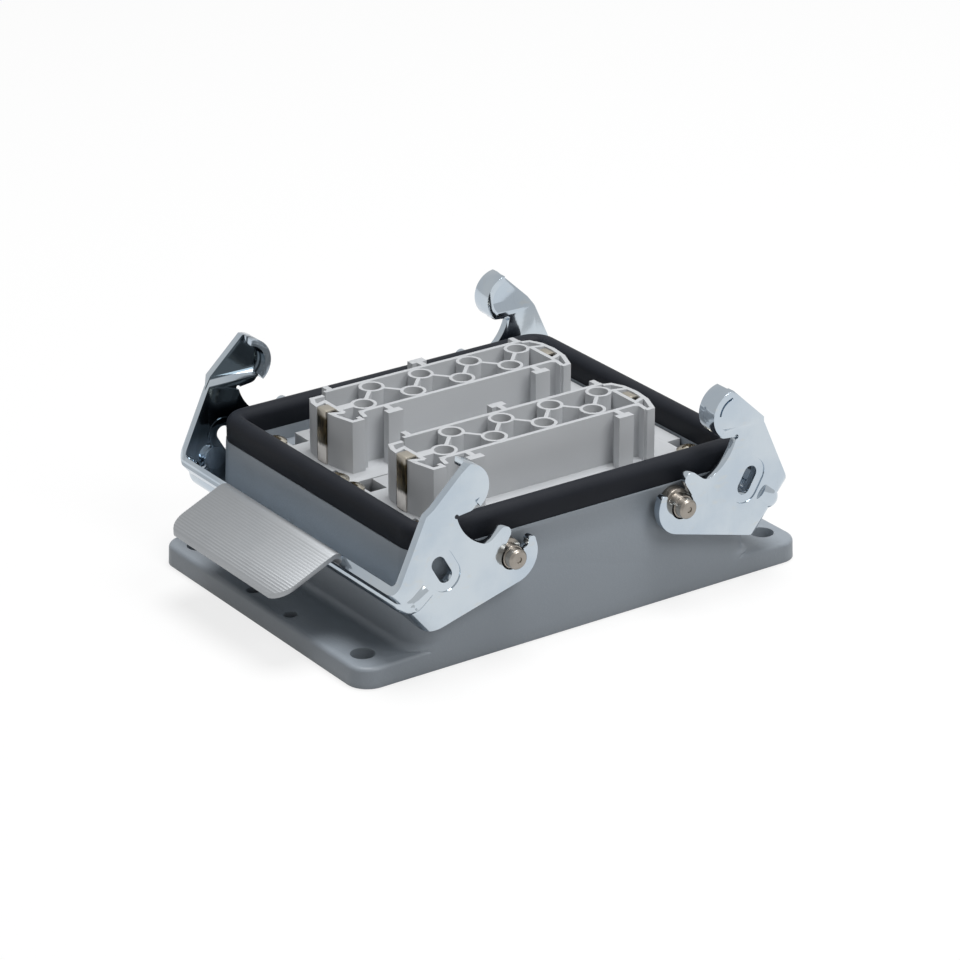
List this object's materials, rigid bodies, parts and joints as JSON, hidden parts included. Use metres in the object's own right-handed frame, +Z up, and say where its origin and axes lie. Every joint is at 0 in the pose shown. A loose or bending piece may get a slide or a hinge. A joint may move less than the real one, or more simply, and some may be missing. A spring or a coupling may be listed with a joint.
{
  "type": "heavy duty rectangular connector",
  "caption": "Rectangular surface mounting connector base with rim gasket, two socket inserts side by side and two spring locking levers, one with a hand tab.",
  "frame": {"origin": "centre of the mounting flange's underside", "axes": "+X along the connector, from the lever with the hand tab to the plain lever; +Z up out of the panel; the front long wall faces -Y"},
  "size_m": [0.1366, 0.099, 0.051],
  "materials": {
    "housing_paint": "satin grey powder coat on die cast aluminium",
    "gasket_rubber": "black moulded rubber",
    "pin_steel": "turned stainless steel",
    "zinc_plated_steel": "blue passivated zinc plating on sheet steel",
    "insert_plastic": "light grey moulded polycarbonate",
    "contact_metal": "silver plated copper alloy",
    "screw_steel": "plated steel screws",
    "strip_metal": "bright copper alloy spring strip"
  },
  "bodies": {
    "base": {"base_housing": "housing_paint", "rim_gasket": "gasket_rubber", "flange_seal": "gasket_rubber", "lever_pin_left_front": "pin_steel", "lever_pin_left_back": "pin_steel", "lever_pin_right_front": "pin_steel", "lever_pin_right_back": "pin_steel", "front_insert": "insert_plastic", "front_contact_1": "contact_metal", "front_contact_2": "contact_metal", "front_contact_3": "contact_metal", "front_contact_4": "contact_metal", "front_contact_5": "contact_metal", "front_contact_6": "contact_metal", "front_contact_7": "contact_metal", "front_contact_8": "contact_metal", "front_fixing_screws": "screw_steel", "front_terminal_screws": "screw_steel", "front_earth_strip_left": "strip_metal", "front_earth_strip_right": "strip_metal", "back_insert": "insert_plastic", "back_contact_1": "contact_metal", "back_contact_2": "contact_metal", "back_contact_3": "contact_metal", "back_contact_4": "contact_metal", "back_contact_5": "contact_metal", "back_contact_6": "contact_metal", "back_contact_7": "contact_metal", "back_contact_8": "contact_metal", "back_fixing_screws": "screw_steel", "back_terminal_screws": "screw_steel", "back_earth_strip_left": "strip_metal", "back_earth_strip_right": "strip_metal"},
    "left_lever": {"left_lever": "zinc_plated_steel"},
    "right_lever": {"right_lever": "zinc_plated_steel"}
  },
  "joints": [
    {"name": "left_lever_hinge", "type": "hinge", "parent": "base", "child": "left_lever", "pos_m": [-0.0242, 0, 0.0246], "axis": [0, 1, 0], "range_deg": [0, 75]},
    {"name": "right_lever_hinge", "type": "hinge", "parent": "base", "child": "right_lever", "pos_m": [0.0242, 0, 0.0246], "axis": [0, -1, 0], "range_deg": [0, 75]}
  ]
}
